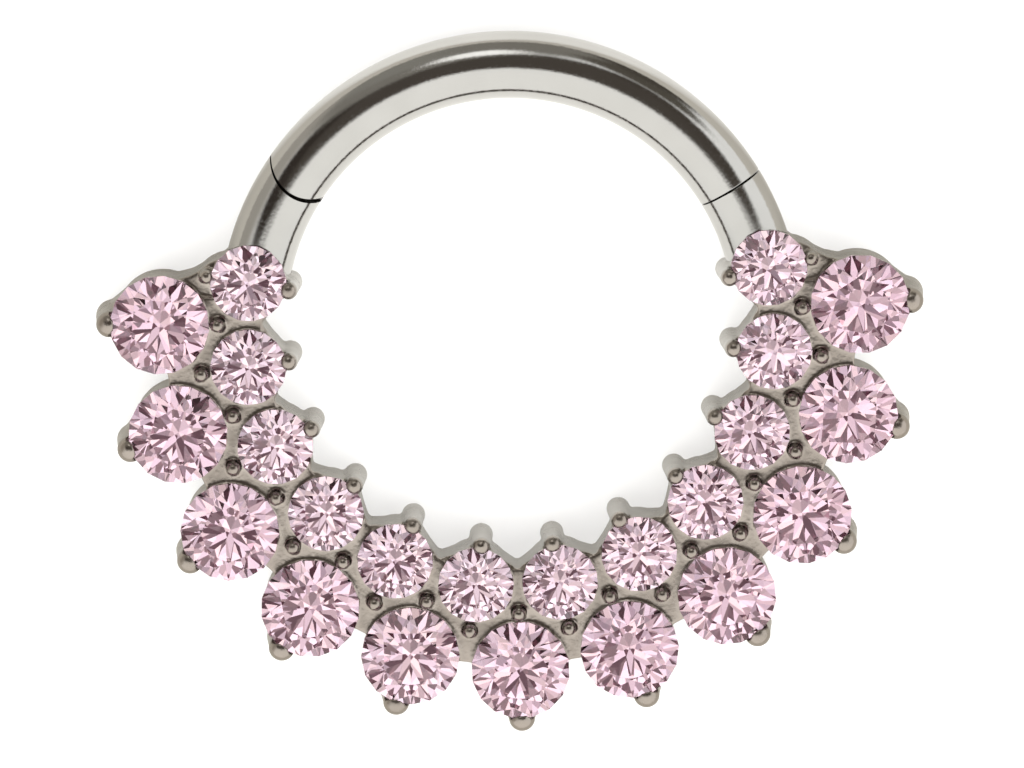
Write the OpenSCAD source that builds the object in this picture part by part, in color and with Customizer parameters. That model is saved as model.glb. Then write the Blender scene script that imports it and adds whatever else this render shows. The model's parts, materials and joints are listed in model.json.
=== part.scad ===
// A hinged ring of body jewellery, closed and lying on its back, in millimetres.
// Two rows of round stones follow the lower half, and a plain rod closes the top.
// The origin is the ring's centre on the surface that it lies on. +Y points to the top
// of the arc and +Z out of the stones. Angles run counter-clockwise from the bottom.

/* [Ring] */
// Diameter of the opening inside the rod
inside_d = 8; // [8:0.5:10]
// Thickness of the rod
rod_d = 1.2; // [1.1:0.05:1.3]
// Height of the rod's underside over the flat back of the setting
rod_lift = 0.05; // [0.03:0.01:0.08]
// Angle from the bottom, up the left side, to the hinge pin
hinge_angle = 133; // [131:1:136]
// Angle from the bottom, up the right side, to the latch seam
latch_angle = 120; // [117:1:123]

/* [Stones] */
// Number of stones in the inner row, with one fewer in the outer row
inner_count = 12; // [8:2:12]
// Diameter of an inner stone
inner_d = 1.36; // [1.3:0.02:1.4]
// Diameter of an outer stone
outer_d = 1.77; // [1.7:0.01:1.8]
// Gap between two stones of the inner row
stone_gap = 0.146; // [0.14:0.002:0.17]
// Gap between the inner and the outer row
row_gap = 0.18; // [0.16:0.01:0.22]
// How far the inner row stands outside the rod's centre line
row_shift = 0.11; // [0.08:0.01:0.14]
// Height of the stones' girdles over the back
girdle_z = 1.3; // [1.28:0.01:1.4]

/* [Setting] */
// Height of the plate between the stones
plate_h = 1.18; // [1.1:0.01:1.2]
// Height of the cup under each stone
cup_h = 1.24; // [1.22:0.01:1.26]
// How far a cup's rim stays inside its stone
cup_inset = 0.03; // [0.02:0.01:0.05]
// How far a cup narrows down to the back
cup_taper = 0.02; // [0:0.01:0.1]
// Thickness of the round prong between three stones
prong_d = 0.25; // [0.22:0.01:0.32]
// Thickness of the claw at the free side of each inner stone
inner_claw_d = 0.32; // [0.28:0.01:0.36]
// Thickness of the claw at the free side of each outer stone
outer_claw_d = 0.46; // [0.4:0.01:0.5]
// Height of the centres of the prongs' and inner claws' round tips
tip_z = 1.38; // [1.36:0.01:1.42]
// Height of the centres of the outer claws' round tips
outer_tip_z = 1.24; // [1.22:0.01:1.3]
// Free play round each stone
seat_gap = 0.02; // [0.02:0.005:0.03]

/* [Hinge and latch] */
// Radius of the round hinge end, as a share of the rod's thickness
knuckle_share = 0.66; // [0.66:0.01:0.72]
// Width of the hinge and latch seams
seam_gap = 0.03; // [0.02:0.005:0.04]
// Diameter of the hinge pin
pin_d = 0.44; // [0.36:0.02:0.5]
// Free play round the turning pin
pin_play = 0.02; // [0.01:0.005:0.03]
// Radius of the domed latch peg
peg_r = 0.34; // [0.3:0.01:0.36]
// Free play round the peg, which leaves its socket at an angle
peg_play = 0.1; // [0.1:0.01:0.11]

/* [Hidden] */
$fn = 64;

// Rod
rod_r = rod_d / 2;
ring_r = inside_d / 2 + rod_r;
rod_z = rod_lift + rod_r;
hinge_at = 360 - hinge_angle;
seam_half = seam_gap / 2;
seam_turn = seam_half / ring_r * 180 / PI;

// Rows of stones
outer_count = inner_count - 1;
inner_row_r = ring_r + row_shift;
pitch = 2 * asin((inner_d + stone_gap) / 2 / inner_row_r);
step_out = inner_row_r * sin(pitch / 2);
row_reach = (inner_d + outer_d) / 2 + row_gap;
outer_row_r = inner_row_r * cos(pitch / 2) + sqrt(row_reach * row_reach - step_out * step_out);
inner_at = [for (i = [1:inner_count]) (i - (inner_count + 1) / 2) * pitch];
outer_at = [for (i = [1:outer_count]) (i - (outer_count + 1) / 2) * pitch];
inner_end = inner_at[inner_count - 1];
outer_end = outer_at[outer_count - 1];
stub_end = inner_end - 3;

// Cut of a round brilliant, as shares of its diameter
table_share = 0.57;
crown_share = 0.15;
girdle_share = 0.03;
pavilion_share = 0.43;
facet_turn = 22.5;
star_share = 0.5;
lower_share = 0.77;
turn_step = 17;

// Plate, prongs and claws
plate_in_r = ring_r - 0.18;
plate_out_r = outer_row_r - 0.06;
plate_end = outer_end + 5;
tip_grow = 1.05;
claw_foot_z = 0.2;
claw_h = plate_h - 0.04;
base_share = 1.35;
fin_fall = 50;
flank_steps = 5;
inner_over = 0.045;
inner_curve = 1.35;
inner_shoulder = [plate_in_r * cos(pitch / 2) - inner_row_r, 1.03 * plate_in_r * sin(pitch / 2)];
outer_over = 0.01;
outer_curve = 1.1;
outer_shoulder = [0.277 * outer_d, 0.379 * outer_d];
outer_skirt = 0.33;
outer_fin_inset = 0.05;

// Where a fin ends in its post: along and across, as shares of the claw's thickness
inner_fin_end = [0.08, 0.5];
outer_fin_end = [0.315, 0.478];

// Prongs and bores
prong_lean = 0.07;
end_prong_r = inner_row_r + inner_d / 2 + 0.07;
bore_share = 0.44;

// Outline of the web at each end of the rows: how far out of the inner row, and how many
// degrees on from the last inner stone
web_h = plate_h - 0.05;
end_web_points = [
    [0.25, 4.8], [0.45, 4.1], [0.64, 3.2], [0.78, 2], [0.89, 0.6],
    [1.04, -0.6], [1.28, -1.6], [1.6, -2.7], [1.4, -5.2], [0.3, -4.2]
];

// Hinge and latch
knuckle_r = knuckle_share * rod_d;
lap_turn = 20;
pin_fit = 0.01;
pin_low_z = 0.1;
pin_high_z = rod_z + 0.4;
over = 0.5;

function stone_name(row, i) = str("stone_", row, "_", i < 10 ? "0" : "", i);

// n points round the Z axis
function around(n, r, z, start = 0) =
    [for (i = [0:n - 1]) [r * cos(start + i * 360 / n), r * sin(start + i * 360 / n), z]];

// Radius at which a prong stands equally far from two stones of one row and the stone of
// the other row that faces their gap. edge_r is the radius of the facing stone's near edge
// plus or minus the radius of the two stones.
function between_stones(row_r, edge_r) =
    (row_r * row_r - edge_r * edge_r) / (2 * (row_r * cos(pitch / 2) - edge_r));

upper_prong_r = between_stones(inner_row_r, outer_row_r - outer_d / 2 + inner_d / 2);
lower_prong_r = between_stones(outer_row_r, inner_row_r + inner_d / 2 - outer_d / 2);

// Turns +X to point outward at an angle from the bottom
module out_at(angle, r = 0) rotate([0, 0, angle - 90]) translate([r, 0, 0]) children();

// The round rod between two angles
module rod(from, to) out_at(from) rotate_extrude(angle = to - from)
    translate([ring_r, rod_z]) circle(rod_r);

// Cuts one half of the lap hinge. side is 1 where the piece ends up the ring from the
// pin's axis, and front is true where the piece keeps the front half of the rod.
module lap_cut(side, front) out_at(hinge_at, ring_r) {
    reach = 2 * rod_d;
    difference() {
        translate([-reach, side > 0 ? 0 : -reach, -over]) cube([2 * reach, reach, rod_d + 2 * over]);
        translate([0, 0, -2 * over]) cylinder(h = rod_d + 4 * over, r = knuckle_r);
    }
    translate([0, 0, front ? -over : rod_z - seam_half])
        cylinder(h = rod_z + over + seam_half, r = knuckle_r + seam_gap);
}

// The hinge pin's hole, from below the back up to a height
module pin_hole(high, play) out_at(hinge_at, ring_r) translate([0, 0, -over])
    cylinder(h = high + over, r = pin_d / 2 + play);

// Rod that closes the top, with the round hinge end and the domed latch peg
module clicker_arc() color("silver") difference() {
    union() {
        rod(latch_angle + seam_turn, hinge_at + lap_turn);
        out_at(latch_angle + seam_turn, ring_r) translate([0, 0, rod_z]) sphere(peg_r);
    }
    lap_cut(1, true);
    pin_hole(pin_high_z + pin_play, pin_play);
}

// Plain pin, held in the setting's half of the hinge
module hinge_pin() color("gray") out_at(hinge_at, ring_r)
    translate([0, 0, pin_low_z]) cylinder(h = pin_high_z - pin_low_z, d = pin_d);

// Room for a stone and the hole under it, from the bottom of the girdle
module seat(d) {
    r = d / 2 + seat_gap;
    table_r = table_share * d / 2;
    bore_r = bore_share * d / 2;
    pavilion_slope = 2 * pavilion_share;
    crown_slope = 2 * crown_share / (1 - table_share);
    girdle_top = girdle_share * d + seat_gap;
    rotate_extrude() polygon([
        [0, -girdle_z - over],
        [bore_r, -girdle_z - over],
        [bore_r, -seat_gap - (r - bore_r) * pavilion_slope],
        [r, -seat_gap],
        [r, girdle_top],
        [table_r, girdle_top + (r - table_r) * crown_slope],
        [table_r, girdle_top + d],
        [0, girdle_top + d]
    ]);
}

// Tapered cup under one stone
module cup(d) cylinder(h = cup_h, r1 = d / 2 - cup_inset - cup_taper, r2 = d / 2 - cup_inset);

// Round prong with a rounded tip
module prong(d) {
    cylinder(h = tip_z, d = d);
    translate([0, 0, tip_z]) sphere(d / 2 * tip_grow);
}

// Points of a fin's flank, which sweeps in from its shoulder to its end in the post
function flank(shoulder, end, side, curve) = [
    for (k = [0:flank_steps]) let (t = k / flank_steps) [
        shoulder[0] + (end[0] - shoulder[0]) * t,
        side * (end[1] + (shoulder[1] - end[1]) * pow(1 - t, curve))
    ]
];

// Fin that joins a cup to a claw's post. shoulder and end are its corners, [x, y] and
// [x, -y] from the stone's centre.
module fin(shoulder, end, curve) {
    near = flank(shoulder, end, -1, curve);
    far = flank(shoulder, end, 1, curve);
    translate([0, 0, claw_foot_z]) linear_extrude(claw_h - claw_foot_z)
        polygon(concat(near, [for (k = [flank_steps:-1:0]) far[k]]));
}

// Tapered post with a round tip, at x from the stone's centre
module post(x, thick, tip) {
    translate([x, 0, claw_foot_z])
        cylinder(h = tip - claw_foot_z, r1 = base_share * thick / 2, r2 = thick / 2);
    translate([x, 0, tip]) sphere(thick / 2 * tip_grow);
}

// Claw on an inner stone's side towards the ring's centre, where its fin falls away
module inner_claw() {
    edge = inner_d / 2;
    x = -edge - inner_over;
    difference() {
        fin(inner_shoulder, [x, 0] + inner_claw_d * inner_fin_end, inner_curve);
        translate([-edge, 0, claw_h]) rotate([0, -fin_fall, 0])
            translate([-inner_d, -inner_d, 0]) cube([inner_d, 2 * inner_d, inner_d]);
    }
    post(x, inner_claw_d, tip_z);
}

// Claw on an outer stone's side away from the ring's centre. Its fin is a wide skirt that
// narrows up to the cup's rim.
module outer_claw() {
    edge = outer_d / 2;
    x = edge + outer_over;
    intersection() {
        fin(outer_shoulder, [x, 0] + outer_claw_d * outer_fin_end, outer_curve);
        cylinder(h = claw_h, r1 = edge + outer_skirt, r2 = edge - outer_fin_inset);
    }
    post(x, outer_claw_d, outer_tip_z);
}

// Part of the plate between two radii, up to an angle on both sides
module sector(in_r, out_r, end) out_at(-end) rotate_extrude(angle = 2 * end)
    translate([in_r, 0]) square([out_r - in_r, plate_h]);

// Web that rounds the corner between a stub of the rod, the last prong and the last outer cup
module end_web(side) linear_extrude(web_h) polygon([
    for (p = end_web_points) let (r = inner_row_r + p[0], at = side * (inner_end + p[1]))
        [r * sin(at), -r * cos(at)]
]);

// Cast lower half with all cups, prongs and claws, and the two short ends of the rod
module setting() color("darkgray") difference() {
    union() {
        sector(plate_in_r, plate_out_r, plate_end);
        for (at = inner_at) out_at(at, inner_row_r) {
            cup(inner_d);
            inner_claw();
        }
        for (at = outer_at) out_at(at, outer_row_r) {
            cup(outer_d);
            outer_claw();
            translate([upper_prong_r + prong_lean - outer_row_r, 0, 0]) prong(prong_d);
        }
        for (i = [1:inner_count - 2]) out_at(inner_at[i], lower_prong_r - prong_lean) prong(prong_d);
        for (side = [-1, 1]) {
            out_at(side * inner_end, end_prong_r) prong(prong_d);
            end_web(side);
        }
        rod(stub_end, latch_angle - seam_turn);
        rod(hinge_at - lap_turn, 360 - stub_end);
    }
    for (at = inner_at) out_at(at, inner_row_r) translate([0, 0, girdle_z]) seat(inner_d);
    for (at = outer_at) out_at(at, outer_row_r) translate([0, 0, girdle_z]) seat(outer_d);
    lap_cut(-1, false);
    pin_hole(rod_z, pin_fit);
    out_at(latch_angle - seam_turn, ring_r) translate([0, 0, rod_z]) sphere(peg_r + peg_play);
}

// Round brilliant, from the bottom of its girdle, turned about its own axis
module brilliant(d, turn) {
    r = d / 2;
    table_r = table_share * r;
    girdle_h = girdle_share * d;
    crown_h = crown_share * d;
    pavilion_h = pavilion_share * d;
    star_r = table_r * cos(facet_turn) + star_share * (r - table_r * cos(facet_turn));
    star_z = girdle_h + crown_h * (r - star_r * cos(facet_turn)) / (r - table_r);
    low_r = (1 - lower_share) * r;
    low_z = -pavilion_h * (1 - low_r * cos(facet_turn) / r);
    points = concat(
        around(8, table_r, girdle_h + crown_h),
        around(8, star_r, star_z, facet_turn),
        around(16, r, girdle_h),
        around(16, r, 0),
        around(8, low_r, low_z, facet_turn),
        [[0, 0, -pavilion_h]]
    );
    star = 8;
    upper = 16;
    lower = 32;
    low = 48;
    culet = 56;
    faces = concat(
        [[for (i = [7:-1:0]) i]],
        [for (i = [0:7]) [i, (i + 1) % 8, star + i]],
        [for (i = [0:7]) [i, star + i, upper + 2 * i, star + (i + 7) % 8]],
        [for (i = [0:7]) [star + i, upper + 2 * i + 1, upper + 2 * i]],
        [for (i = [0:7]) [star + i, upper + (2 * i + 2) % 16, upper + 2 * i + 1]],
        [for (i = [0:15]) [lower + i, upper + i, upper + (i + 1) % 16, lower + (i + 1) % 16]],
        [for (i = [0:7]) [low + i, lower + 2 * i, lower + 2 * i + 1]],
        [for (i = [0:7]) [low + i, lower + 2 * i + 1, lower + (2 * i + 2) % 16]],
        [for (i = [0:7]) [culet, low + (i + 7) % 8, lower + 2 * i, low + i]]
    );
    rotate([0, 0, turn]) polyhedron(points, faces);
}

module stone_inner(i) color("pink") out_at(inner_at[i - 1], inner_row_r)
    translate([0, 0, girdle_z]) brilliant(inner_d, i * turn_step);

module stone_outer(i) color("pink") out_at(outer_at[i - 1], outer_row_r)
    translate([0, 0, girdle_z]) brilliant(outer_d, i * turn_step);

setting();
clicker_arc();
hinge_pin();
for (i = [1:inner_count])
    stone_inner(i);
for (i = [1:outer_count])
    stone_outer(i);
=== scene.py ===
import json
import math
import bmesh
import bpy
import numpy as np
from mathutils import Matrix, Vector


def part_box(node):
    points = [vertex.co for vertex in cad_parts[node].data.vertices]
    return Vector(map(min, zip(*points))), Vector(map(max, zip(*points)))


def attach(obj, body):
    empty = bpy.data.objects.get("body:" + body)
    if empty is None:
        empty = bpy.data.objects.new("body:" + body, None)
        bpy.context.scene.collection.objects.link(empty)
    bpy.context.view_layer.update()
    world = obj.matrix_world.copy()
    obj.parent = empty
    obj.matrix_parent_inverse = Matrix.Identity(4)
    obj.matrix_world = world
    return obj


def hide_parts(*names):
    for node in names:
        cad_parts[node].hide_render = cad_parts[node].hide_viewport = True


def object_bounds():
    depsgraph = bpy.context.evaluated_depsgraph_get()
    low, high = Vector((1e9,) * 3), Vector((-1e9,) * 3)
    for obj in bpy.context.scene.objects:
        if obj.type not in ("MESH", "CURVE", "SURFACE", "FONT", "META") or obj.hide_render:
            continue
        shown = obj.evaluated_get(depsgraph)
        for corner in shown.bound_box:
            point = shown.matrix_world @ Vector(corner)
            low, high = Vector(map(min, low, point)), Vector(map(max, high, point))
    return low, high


# A clicker ring of surgical steel and pink cubic zirconia, closed and lying on its back.
# The frame is in metres. Metal pieces are shaped in millimetres and scaled down when done.
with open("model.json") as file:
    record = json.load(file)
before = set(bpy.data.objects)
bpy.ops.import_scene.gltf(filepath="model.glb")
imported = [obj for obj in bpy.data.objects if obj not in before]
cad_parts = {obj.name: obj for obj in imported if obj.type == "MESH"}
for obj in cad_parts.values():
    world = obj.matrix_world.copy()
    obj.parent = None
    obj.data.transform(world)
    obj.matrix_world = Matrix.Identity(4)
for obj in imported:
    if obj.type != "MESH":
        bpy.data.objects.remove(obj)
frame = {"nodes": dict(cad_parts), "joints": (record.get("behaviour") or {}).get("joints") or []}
nodes = frame["nodes"]
cad_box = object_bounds()

MM = 0.001

# The rod's line and its hinge, in millimetres and degrees, from the joint and the arc's box
hinge = frame["joints"][0]
PIN = Vector(hinge["pos_m"]) / MM
RING_R = PIN.xy.length
ROD_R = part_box("clicker_arc")[1].y / MM - RING_R
ROD_Z = PIN.z
HINGE_AT = math.degrees(math.atan2(PIN.y, PIN.x))
LATCH_AT = 30
# Where the two stubs end under the last stones, and the bore of those stones' cups
STUB_END = 8.19
CUP_R = 0.65
# The lap hinge: how far each half reaches past the pin, its round knuckle and its seam
LAP_TURN = 20
KNUCKLE_R = 0.792
SEAM = 0.03
SEAM_TURN = math.degrees(SEAM / 2 / RING_R)
# Wear has widened the seam on the stub's side and moved it outward and down the ring
WORN_SEAM = 1.5 * SEAM
WORN = (-0.04, 0.01)
# The pin, its blind hole, and the latch's domed peg
PIN_R = 0.22
PIN_PLAY = 0.02
PIN_TOP = 1.05
PEG_R = 0.34
PEG_PLAY = 0.1
# Heights well below and above the ring, for what is cut right through
BELOW = -1
ABOVE = 2

# Fineness of the metal meshes
ROD_SIDES = 96
ROD_STEP = 0.8
ROUND_SIDES = 128
BALL_SIDES = 64
BROKEN_EDGE = 0.007
EDGE_STEPS = 4

# The casting's mesh: grid in millimetres, passes of smoothing, and triangles kept
CAST_VOXEL = 0.024
CAST_SOFTEN = 14
CAST_TRIANGLES = 190000
# Where the stubs take over: the casting sinks this far under them, once it is this near their
# surface, and ends at this height of the ring
TUCK = 0.05
NEAR_SURFACE = 0.012
ROD_ENDS_Y = 1.85

# The camera leans 9 degrees from straight above, toward the top of the arc, and is rolled a
# little, as in the photo. Its width of view is in metres, its lens and sensor in millimetres
LEAN = math.radians(9)
ROLL = math.radians(-1.72)
VIEW_WIDTH = 18.3 * MM
LENS = 200
SENSOR = 36

# The light tent, as the rod shows it: white cloth all round, darker on the left, and the
# dark opening that the camera and its stand fill, with a lit strip in it. Each patch has its
# tilt from straight above toward +X and +Y, its radius and its soft edge, in degrees
TENT_CLOTH = "#D5D5D3"
TENT_STRENGTH = 2
TENT_PATCHES = (
    (-85, 35, 42, 16, "#918D86"),
    (0, -60, 50, 25, "#DCDBD7"),
    (-22, 22, 24, 4, "#2F2A26"),
    (17, 20, 23, 4, "#3D3833"),
    (0, 18, 24, 4, "#423D38"),
    (-18, 60, 28, 6, "#6F6C66"),
    (-22, 76, 22, 6, "#787670"),
    (12, 75, 23, 6, "#716E68"),
    (38, 53, 15, 4, "#4A463F"),
    (50, 70, 13, 4, "#423E38"),
    (-5, 49, 8, 4, "#F4F3F0"),
)

# The creased cloth that the stones alone see: cells in the round of the tent, how few of them
# are bright, and the creases' share of the tent's light
CREASE_CELLS = 7
CREASE_POWER = 4
CREASE_SHARE = 0.85
# The bright band round the opening: the heights of view where it starts and is full, from
# below and from above, and its share of full light
BAND_FROM_BELOW = (0.5, 0.64)
BAND_FROM_ABOVE = (0.9, 0.8)
BAND_LIGHT = 0.55

# A broad lamp that whitens the card alone: its width and height in metres, and its radiance
WASH_SIZE = 0.4
WASH_HEIGHT = 0.25
WASH_RADIANCE = 2

# The painted pool of light on the card that reflections see, in millimetres: its middle up the
# ring, how much it is narrowed across and stretched along, and where it fades out and is full
CARD_MIDDLE_Y = 3
CARD_NARROW = 1.25
CARD_STRETCH = 0.75
CARD_FADE = (6.6, 4.6)
# The card's half width, in metres
CARD_HALF_WIDTH = 0.5


def linear(colour):
    """Linear RGBA of an sRGB hex colour"""
    channels = [int(colour[i:i + 2], 16) / 255 for i in (1, 3, 5)]
    return [c / 12.92 if c <= 0.04045 else ((c + 0.055) / 1.055) ** 2.4 for c in channels] + [1]


def add(tree, kind, sockets=None, **settings):
    """Adds a shader node with its settings. sockets gives each input in use a value, an sRGB
    hex colour, another node's output, or a node, whose first output in use it then takes"""
    node = tree.nodes.new("ShaderNode" + kind)
    for name, value in settings.items():
        setattr(node, name, value)
    for name, value in (sockets or {}).items():
        socket = next(s for s in node.inputs if s.enabled and name in (s.name, s.identifier))
        if isinstance(value, bpy.types.Node):
            value = next(s for s in value.outputs if s.enabled)
        if isinstance(value, bpy.types.NodeSocket):
            tree.links.new(value, socket)
        else:
            socket.default_value = linear(value) if isinstance(value, str) else value
    return node


def new_material(name):
    """A material with no nodes yet"""
    material = bpy.data.materials.new(name)
    material.use_nodes = True
    material.node_tree.nodes.clear()
    return material, material.node_tree


def along_the_rod(tree):
    """Object coordinates unrolled to millimetres: along the rod, out from the ring's centre
    and up"""
    place = add(tree, "TexCoord").outputs["Object"]
    x, y, z = add(tree, "SeparateXYZ", {"Vector": place}).outputs
    turn = add(tree, "Math", {"Value": y, "Value_001": x}, operation="ARCTAN2")
    flat = add(tree, "CombineXYZ", {"X": x, "Y": y})
    radius = add(tree, "VectorMath", {"Vector": flat}, operation="LENGTH")
    length = add(tree, "Math", {"Value": turn, "Value_001": RING_R * MM}, operation="MULTIPLY")
    metres = add(tree, "CombineXYZ", {"X": length, "Y": radius, "Z": z})
    return add(tree, "VectorMath", {"Vector": metres, "Scale": 1 / MM}, operation="SCALE")


def polished_steel():
    """Drawn 316L wire, polished on a mop: a mirror with faint draw lines along it and a
    dust of tiny wear pits, so its dark reflections look slightly speckled"""
    material, tree = new_material("polished_surgical_steel")
    unrolled = along_the_rod(tree)
    # Draw lines about 0.05 mm apart and 2 mm long, and a film that drifts over about 1 mm
    lines = add(tree, "Mapping", {"Vector": unrolled, "Scale": (0.6, 22, 22)})
    draw = add(tree, "TexNoise", {"Vector": lines, "Scale": 1, "Detail": 3})
    film = add(tree, "TexNoise", {"Vector": unrolled, "Scale": 0.9, "Detail": 2})
    # Pits about 0.05 mm wide
    pits = add(tree, "TexNoise", {"Vector": unrolled, "Scale": 20, "Detail": 4, "Roughness": 0.7})
    worn = add(tree, "MapRange", {"Value": pits, "From Min": 0.45, "From Max": 0.65,
                                  "To Min": 0.05, "To Max": 0.17})
    low = add(tree, "Bump", {"Height": draw, "Strength": 0.15, "Distance": 0.0022 * MM})
    bump = add(tree, "Bump", {"Height": pits, "Normal": low, "Strength": 0.35,
                              "Distance": 0.004 * MM})
    bright = add(tree, "Mix", {"Factor": film, "A": "#C1C0BE", "B": "#B2B1AE"}, data_type="RGBA")
    # Painted shade: the seams, where the occlusion is deep, are painted near black
    seam = add(tree, "AmbientOcclusion", {"Distance": 0.3 * MM}, samples=8).outputs["AO"]
    seam_shade_fade = add(tree, "MapRange", {"Value": seam, "From Min": 0.25, "From Max": 0.55})
    colour = add(tree, "Mix", {"Factor": seam_shade_fade, "A": "#1E1B18", "B": bright}, data_type="RGBA")
    steel = add(tree, "BsdfPrincipled", {"Base Color": colour, "Metallic": 1, "Roughness": worn,
                                         "Normal": bump})
    add(tree, "OutputMaterial", {"Surface": steel})
    return material


def cast_steel():
    """Lost-wax cast 316L, tumbled to a soft satin with a fine orange-peel skin. Its colour is
    painted
    shading: warm grey on its tops, neutral grey on its steep sides, painted fill light in its
    corners and painted shade, near black, deep in its cups"""
    material, tree = new_material("cast_steel_tumbled_satin")
    place = add(tree, "TexCoord").outputs["Object"]
    # Skin grain about 0.08 mm, clouds about 0.5 mm
    skin = add(tree, "TexNoise", {"Vector": place, "Scale": 1 / (0.08 * MM), "Detail": 3})
    cloud = add(tree, "TexNoise", {"Vector": place, "Scale": 1 / (0.5 * MM), "Detail": 3})
    top = add(tree, "Mix", {"Factor": cloud, "A": "#B0A79F", "B": "#958C84"}, data_type="RGBA")
    # Painted shading by facing: what faces up is painted the warm grey, and the steep sides a
    # neutral grey
    facing = add(tree, "NewGeometry").outputs["Normal"]
    up = add(tree, "SeparateXYZ", {"Vector": facing}).outputs["Z"]
    facing_shading = add(tree, "MapRange", {"Value": up, "From Min": 0.1, "From Max": 0.8})
    metal = add(tree, "Mix", {"Factor": facing_shading, "A": "#A19E99", "B": top}, data_type="RGBA")
    recess = add(tree, "AmbientOcclusion", {"Distance": 0.35 * MM}, samples=8).outputs["AO"]
    # Painted fill light: corners and recesses, where shade falls, are painted a bright grey
    painted_fill_fade = add(tree, "MapRange", {"Value": recess, "From Min": 0.04, "From Max": 0.5})
    outside = add(tree, "Mix", {"Factor": painted_fill_fade, "A": "#E0D9D1", "B": metal}, data_type="RGBA")
    # Painted shade: the cups under the stones are painted near black
    cup_shade_fade = add(tree, "MapRange", {"Value": recess, "From Min": 0, "From Max": 0.03})
    colour = add(tree, "Mix", {"Factor": cup_shade_fade, "A": "#3E3433", "B": outside}, data_type="RGBA")
    rough = add(tree, "MapRange", {"Value": cloud, "From Min": 0.3, "From Max": 0.7,
                                   "To Min": 0.18, "To Max": 0.32})
    bump = add(tree, "Bump", {"Height": skin, "Strength": 0.5, "Distance": 0.01 * MM})
    steel = add(tree, "BsdfPrincipled", {"Base Color": colour, "Metallic": 1,
                                         "Roughness": rough, "Normal": bump})
    add(tree, "OutputMaterial", {"Surface": steel})
    return material


def pink_stone():
    """Round brilliants of pale pink cubic zirconia, cut and polished flat by flat: clear,
    very bright, with the pink deepest where light crosses the stone several times, and
    rose-tinted reflections inside, so the dark facets stay pink too"""
    material, tree = new_material("cut_cubic_zirconia_pink")
    place = add(tree, "TexCoord").outputs["Object"]
    # Each stone differs a little, so the tint drifts over about 3 mm
    drift = add(tree, "TexNoise", {"Vector": place, "Scale": 1 / (3 * MM), "Detail": 0})
    colour = add(tree, "Mix", {"Factor": drift, "A": "#FFFFFF", "B": "#FFF4FA"}, data_type="RGBA")
    stone = add(tree, "BsdfPrincipled", {"Base Color": colour, "Roughness": 0, "IOR": 2.17,
                                         "Specular Tint": "#C896A8", "Transmission Weight": 1})
    absorb = add(tree, "VolumeAbsorption", {"Color": "#E3A3BD", "Density": 290})
    add(tree, "OutputMaterial", {"Surface": stone, "Volume": absorb})
    return material


def pale_floor():
    """Matt white card: no gloss, with a paper grain too faint to notice. In reflections it carries
    a painted pool of light, and through the stones it is painted grey as shade
    """
    material, tree = new_material("matt_white_card")
    place = add(tree, "TexCoord").outputs["Object"]
    grain = add(tree, "TexNoise", {"Vector": place, "Scale": 1 / (0.4 * MM), "Detail": 2})
    white = add(tree, "Mix", {"Factor": grain, "A": "#FAFAFA", "B": "#F7F7F7"}, data_type="RGBA")
    # Painted light: in reflections the card carries a painted pool of light, bright inside the
    # ring and under the head of the arc, and dim outside
    stretch = (CARD_NARROW / MM, CARD_STRETCH / MM, 1 / MM)
    oval = add(tree, "Mapping", {"Vector": place, "Scale": stretch,
                                 "Location": (0, -CARD_MIDDLE_Y * CARD_STRETCH, 0)})
    away = add(tree, "VectorMath", {"Vector": oval}, operation="LENGTH")
    fade, full = CARD_FADE
    lit = add(tree, "MapRange", {"Value": away, "From Min": fade, "From Max": full})
    painted_pool_in_reflections = add(tree, "Mix", {"Factor": lit, "A": "#C2BEB6", "B": "#F2F1EE"}, data_type="RGBA")
    path = add(tree, "LightPath").outputs
    # Painted shade: seen through the stones the card is painted grey
    colour = add(tree, "Mix", {"Factor": path["Is Transmission Ray"], "A": white, "B": "#CFCBC4"},
                 data_type="RGBA")
    colour = add(tree, "Mix", {"Factor": path["Is Glossy Ray"], "A": colour, "B": painted_pool_in_reflections},
                 data_type="RGBA")
    card = add(tree, "BsdfPrincipled", {"Base Color": colour, "Roughness": 0.9,
                                        "Specular IOR Level": 0.2})
    add(tree, "OutputMaterial", {"Surface": card})
    return material


def show(name, bm):
    """Makes an object of a bmesh, in millimetres for now"""
    mesh = bpy.data.meshes.new(name)
    bm.to_mesh(mesh)
    bm.free()
    piece = bpy.data.objects.new(name, mesh)
    bpy.context.scene.collection.objects.link(piece)
    return piece


def keep_modifiers(piece):
    """Turns what the modifiers make into the piece's own mesh"""
    graph = bpy.context.evaluated_depsgraph_get()
    mesh = bpy.data.meshes.new_from_object(piece.evaluated_get(graph))
    piece.modifiers.clear()
    piece.data = mesh


def combine(piece, operation, tools):
    """Cuts the tools away from a piece, or joins them to it, and removes them"""
    for tool in tools:
        step = piece.modifiers.new("shape", "BOOLEAN")
        step.operation = operation
        step.solver = "MANIFOLD"
        step.object = tool
    keep_modifiers(piece)
    for tool in tools:
        bpy.data.objects.remove(tool)


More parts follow.
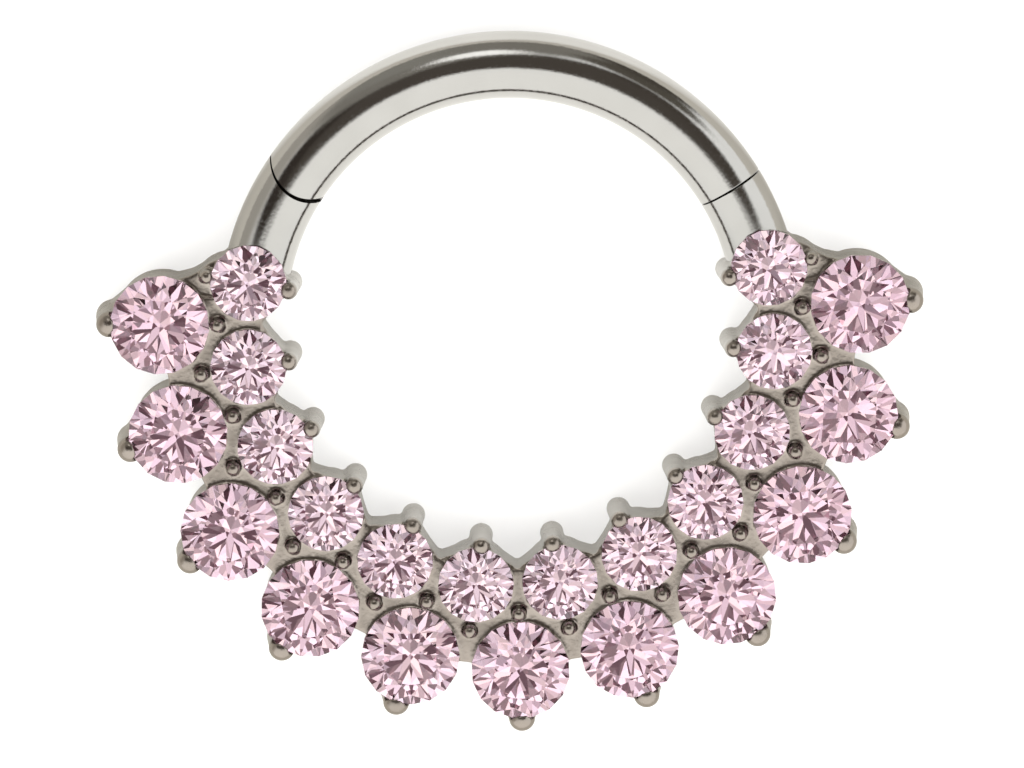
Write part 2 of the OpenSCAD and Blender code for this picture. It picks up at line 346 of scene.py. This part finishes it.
def rod(name, first, last):
    """A round rod along the ring between two polar angles, its end edges slightly broken"""
    edge = [(1 - math.cos(a), 1 - math.sin(a)) for a in np.linspace(0, math.pi / 2, EDGE_STEPS)]
    turn = math.degrees(BROKEN_EDGE / RING_R)
    ends = [(share * turn, ROD_R - cut * BROKEN_EDGE) for share, cut in edge]
    # One more ring close by keeps the bend in the shading at the edge
    ends.append((2 * turn, ROD_R))
    steps = round((last - first) / ROD_STEP)
    middle = np.linspace(first, last, steps)[1:-1]
    rings = [(first + at, r) for at, r in ends]
    rings += [(at, ROD_R) for at in middle]
    rings += [(last - at, r) for at, r in reversed(ends)]
    bm = bmesh.new()
    loops = []
    for at, r in rings:
        turned = Matrix.Rotation(math.radians(at), 3, "Z")
        section = arc_points(r, 0, 360, ROD_SIDES + 1)[:-1]
        points = [turned @ Vector((RING_R + x, 0, ROD_Z + z)) for x, z in section]
        loops.append([bm.verts.new(p) for p in points])
    for near, far in zip(loops, loops[1:]):
        for k in range(ROD_SIDES):
            bm.faces.new((near[k - 1], near[k], far[k], far[k - 1]))
    bm.faces.new(loops[0])
    bm.faces.new(loops[-1])
    bmesh.ops.recalc_face_normals(bm, faces=bm.faces)
    return show(name, bm)


ON_HINGE = Matrix.Rotation(math.radians(HINGE_AT), 4, "Z") @ Matrix.Translation((RING_R, 0, 0))


def prism(outline, low, high, placed=ON_HINGE):
    """An upright prism whose outline is given outward and round from the hinge pin, or from
    another place"""
    bm = bmesh.new()
    face = bm.faces.new([bm.verts.new(placed @ Vector((u, v, low))) for u, v in outline])
    raised = bmesh.ops.extrude_face_region(bm, geom=[face])["geom"]
    moved = [v for v in raised if isinstance(v, bmesh.types.BMVert)]
    bmesh.ops.translate(bm, verts=moved, vec=(0, 0, high - low))
    bmesh.ops.recalc_face_normals(bm, faces=bm.faces)
    return show("tool", bm)


def arc_points(r, first, last, count):
    """Points of a circle's arc, in degrees"""
    turns = np.radians(np.linspace(first, last, count))
    return [(r * math.cos(a), r * math.sin(a)) for a in turns]


def disc(r):
    """Points of a whole circle"""
    return arc_points(r, 0, 360, ROUND_SIDES + 1)[:-1]


def ball(at, r):
    """A ball centred on the rod's line at a polar angle"""
    bm = bmesh.new()
    bmesh.ops.create_uvsphere(bm, u_segments=BALL_SIDES, v_segments=BALL_SIDES // 2, radius=r)
    turned = Matrix.Rotation(math.radians(at), 4, "Z") @ Matrix.Translation((RING_R, 0, ROD_Z))
    bmesh.ops.transform(bm, matrix=turned, verts=bm.verts)
    return show("tool", bm)


def lap_tools(side, low, high, room=SEAM, worn=(0, 0)):
    """What the lap hinge takes off one half: all that is past the round knuckle on one side of
    the pin, and the other half's room between two heights, moved by the wear. side is 1 down
    the ring"""
    reach = 4 * ROD_R
    box = [(reach, 0), (reach, side * reach), (-reach, side * reach), (-reach, 0)]
    knuckle = arc_points(KNUCKLE_R, 180 * side, 0, ROUND_SIDES)
    moved = ON_HINGE @ Matrix.Translation((*worn, 0))
    return [prism(box + knuckle, -reach, reach), prism(disc(KNUCKLE_R + room), low, high, moved)]


def dress(piece, material):
    """Gives a piece its one material"""
    piece.data.materials.clear()
    piece.data.materials.append(material)


def finish_metal(piece, body, material, sharp=30):
    """Scales a piece to metres, smooths its shading between real edges and lets it ride"""
    piece.data.transform(Matrix.Scale(MM, 4))
    dress(piece, material)
    piece.data.shade_smooth()
    piece.data.set_sharp_from_angle(angle=math.radians(sharp))
    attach(piece, body)


def clicker_arc(steel):
    """The polished rod with its hinge knuckle in front, pin hole and domed latch peg"""
    piece = rod("arc_rod", LATCH_AT + SEAM_TURN, HINGE_AT + LAP_TURN)
    combine(piece, "DIFFERENCE", lap_tools(1, BELOW, ROD_Z + SEAM / 2))
    combine(piece, "DIFFERENCE", [prism(disc(PIN_R + PIN_PLAY), BELOW, PIN_TOP + PIN_PLAY)])
    combine(piece, "UNION", [ball(LATCH_AT + SEAM_TURN, PEG_R)])
    finish_metal(piece, "arc", steel)
    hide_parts("clicker_arc")


def end_stones():
    """Centres of the two inner stones that sit on the ends of the rod, left one first"""
    boxes = [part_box(name) for name in nodes if name.startswith("stone_inner_")]
    centres = [(low + high) / 2 / MM for low, high in boxes]
    top = sorted(centres, key=lambda c: c.y)[-2:]
    return sorted(top, key=lambda c: c.x)


def stubs(steel):
    """The two short ends of the rod on the cast half: the hinge cheek and the latch socket"""
    left = rod("hinge_stub", HINGE_AT - LAP_TURN, 180 - STUB_END)
    combine(left, "DIFFERENCE", lap_tools(-1, ROD_Z - SEAM / 2, ABOVE, WORN_SEAM, WORN))
    combine(left, "DIFFERENCE", [prism(disc(PIN_R + PIN_PLAY / 2), BELOW, ROD_Z)])
    right = rod("latch_stub", STUB_END, LATCH_AT - SEAM_TURN)
    combine(right, "DIFFERENCE", [ball(LATCH_AT - SEAM_TURN, PEG_R + PEG_PLAY)])
    for piece, stone in zip((left, right), end_stones()):
        at_stone = Matrix.Translation((*stone.xy, 0))
        combine(piece, "DIFFERENCE", [prism(disc(CUP_R), BELOW, ABOVE, at_stone)])
        finish_metal(piece, "setting", steel)


def setting_casting(steel):
    """The cast half: the setting's own solid, its edges softened as casting and tumbling
    leave them, without the rod's ends, which are pieces of their own"""
    piece = bpy.data.objects.new("setting_casting", nodes["setting"].data.copy())
    bpy.context.scene.collection.objects.link(piece)
    piece.data.transform(Matrix.Scale(1 / MM, 4))
    remesh = piece.modifiers.new("even", "REMESH")
    remesh.mode = "VOXEL"
    remesh.voxel_size = CAST_VOXEL
    soften = piece.modifiers.new("soften", "SMOOTH")
    soften.factor = 0.5
    soften.iterations = CAST_SOFTEN
    keep_modifiers(piece)
    tuck_under_stubs(piece.data)
    drop_rod_ends(piece)
    thin = piece.modifiers.new("thin", "DECIMATE")
    piece.data.calc_loop_triangles()
    thin.ratio = min(1, CAST_TRIANGLES / len(piece.data.loop_triangles))
    keep_modifiers(piece)
    finish_metal(piece, "setting", steel, sharp=180)
    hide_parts("setting")


def tuck_under_stubs(mesh):
    """Sinks the casting's own copy of the rod below the polished stubs' surface"""
    count = len(mesh.vertices)
    place = np.empty(count * 3)
    mesh.vertices.foreach_get("co", place)
    place = place.reshape(-1, 3)
    radius = np.hypot(place[:, 0], place[:, 1])
    line = place * (RING_R / radius)[:, None]
    line[:, 2] = ROD_Z
    out = place - line
    depth = np.linalg.norm(out, axis=1)
    turn = np.degrees(np.arctan2(place[:, 1], np.abs(place[:, 0])))
    cup = end_stones()[1]
    outside = np.hypot(np.abs(place[:, 0]) - cup.x, place[:, 1] - cup.y) > CUP_R
    on_rod = outside & (turn > STUB_END)
    on_rod &= (depth < ROD_R + NEAR_SURFACE) & (depth > ROD_R - TUCK)
    place[on_rod] = line[on_rod] + out[on_rod] * ((ROD_R - TUCK) / depth[on_rod])[:, None]
    mesh.vertices.foreach_set("co", place.ravel())


def drop_rod_ends(piece):
    """Cuts the casting off above the last cups, inside the stubs"""
    bm = bmesh.new()
    bm.from_mesh(piece.data)
    everything = bm.verts[:] + bm.edges[:] + bm.faces[:]
    cut = bmesh.ops.bisect_plane(bm, geom=everything, plane_co=(0, ROD_ENDS_Y, 0),
                                 plane_no=(0, 1, 0), clear_outer=True)
    rim = [e for e in cut["geom_cut"] if isinstance(e, bmesh.types.BMEdge)]
    bmesh.ops.contextual_create(bm, geom=rim)
    bm.to_mesh(piece.data)
    bm.free()


def dress_stones(stone):
    """The stones are the CAD's own cut solids, facet by facet"""
    for name, node in nodes.items():
        if name.startswith("stone_"):
            dress(node, stone)
            node.data.shade_flat()


def toward(across, up):
    """The direction that is tilted so many degrees from straight above toward +X and +Y"""
    tilt = math.radians(math.hypot(across, up))
    way = Vector((across, up, 0)).normalized() * math.sin(tilt)
    way.z = math.cos(tilt)
    return way


def tent_cloth(tree, way):
    """The tent's plain cloth with its patches, as the metal shows it"""
    colour = TENT_CLOTH
    for across, up, radius, soft, shade in TENT_PATCHES:
        near = add(tree, "VectorMath", {"Vector": way, "Vector_001": toward(across, up)},
                   operation="DOT_PRODUCT")
        share = add(tree, "MapRange", {"Value": near,
                                       "From Min": math.cos(math.radians(radius + soft)),
                                       "From Max": math.cos(math.radians(radius - soft))},
                    interpolation_type="SMOOTHSTEP")
        colour = add(tree, "Mix", {"Factor": share, "A": colour, "B": shade}, data_type="RGBA")
    return colour


def creased_cloth(tree, way, plain):
    """The same cloth with its creases and a bright band round the opening: the band lights
    the stones' hearts, and the creases break up the light round them"""
    cell = add(tree, "TexVoronoi", {"Vector": way, "Scale": CREASE_CELLS}).outputs["Color"]
    first, second = add(tree, "SeparateColor", {"Color": cell}).outputs[:2]
    tint = add(tree, "Mix", {"Factor": second, "A": "#F3EAE3", "B": "#EEEAF3"}, data_type="RGBA")
    lit = add(tree, "Math", {"Value": first, "Value_001": CREASE_POWER}, operation="POWER")
    high = add(tree, "SeparateXYZ", {"Vector": way}).outputs["Z"]
    sides = [add(tree, "MapRange", {"Value": high, "From Min": dark, "From Max": bright})
             for dark, bright in (BAND_FROM_BELOW, BAND_FROM_ABOVE)]
    band = add(tree, "Math", {"Value": sides[0], "Value_001": sides[1]}, operation="MULTIPLY")
    lit = add(tree, "Math", {"Value": band, "Value_001": BAND_LIGHT, "Value_002": lit},
              operation="MULTIPLY_ADD", use_clamp=True)
    crease = add(tree, "Mix", {"Factor": lit, "A": "#0E0A0C", "B": tint}, data_type="RGBA")
    return add(tree, "Mix", {"Factor": CREASE_SHARE, "A": plain, "B": crease}, data_type="RGBA")


def light_tent():
    """The world: a light tent, creased where it is seen through the stones"""
    world = bpy.data.worlds.new("light_tent")
    world.use_nodes = True
    bpy.context.scene.world = world
    tree = world.node_tree
    tree.nodes.clear()
    way = add(tree, "TexCoord").outputs["Generated"]
    plain = tent_cloth(tree, way)
    creased = creased_cloth(tree, way, plain)
    through = add(tree, "LightPath").outputs["Is Transmission Ray"]
    colour = add(tree, "Mix", {"Factor": through, "A": plain, "B": creased}, data_type="RGBA")
    light = add(tree, "Background", {"Color": colour, "Strength": TENT_STRENGTH})
    add(tree, "OutputWorld", {"Surface": light})


def card_and_lamp():
    """The white card under the ring, and the lamp that whitens it for the picture"""
    bm = bmesh.new()
    bmesh.ops.create_grid(bm, x_segments=8, y_segments=8, size=CARD_HALF_WIDTH)
    floor = show("floor", bm)
    floor.data.materials.append(pale_floor())

    wash = bpy.data.lights.new("card_wash", "AREA")
    wash.shape = "DISK"
    wash.use_shadow = False
    wash.size = WASH_SIZE
    wash.energy = WASH_RADIANCE * math.pi * math.pi * (WASH_SIZE / 2) ** 2
    lamp = bpy.data.objects.new("card_wash", wash)
    lamp.location = (0, 0, WASH_HEIGHT)
    lamp.visible_camera = lamp.visible_glossy = lamp.visible_transmission = False
    bpy.context.scene.collection.objects.link(lamp)


def camera():
    """A macro lens whose view is filled by the ring"""
    data = bpy.data.cameras.new("camera")
    data.lens = LENS
    data.sensor_width = SENSOR
    data.clip_start = 0.01
    data.clip_end = 5
    look = bpy.data.objects.new("camera", data)
    bpy.context.scene.collection.objects.link(look)
    low, high = (Vector(corner) for corner in cad_box)
    middle = (low + high) / 2
    distance = VIEW_WIDTH * LENS / SENSOR
    look.location = middle + distance * Vector((0, math.sin(LEAN), math.cos(LEAN)))
    upright = Matrix.Rotation(-LEAN, 4, "X")
    look.matrix_world = Matrix.Translation(look.location) @ upright @ Matrix.Rotation(ROLL, 4, "Z")
    bpy.context.scene.camera = look


rod_steel = polished_steel()
cast = cast_steel()
clicker_arc(rod_steel)
stubs(rod_steel)
setting_casting(cast)
dress(nodes["hinge_pin"], rod_steel)
dress_stones(pink_stone())
card_and_lamp()
light_tent()
camera()

scene = bpy.context.scene
scene.view_settings.view_transform = "Standard"
scene.cycles.max_bounces = 24
scene.cycles.transmission_bounces = 24
scene.cycles.glossy_bounces = 8
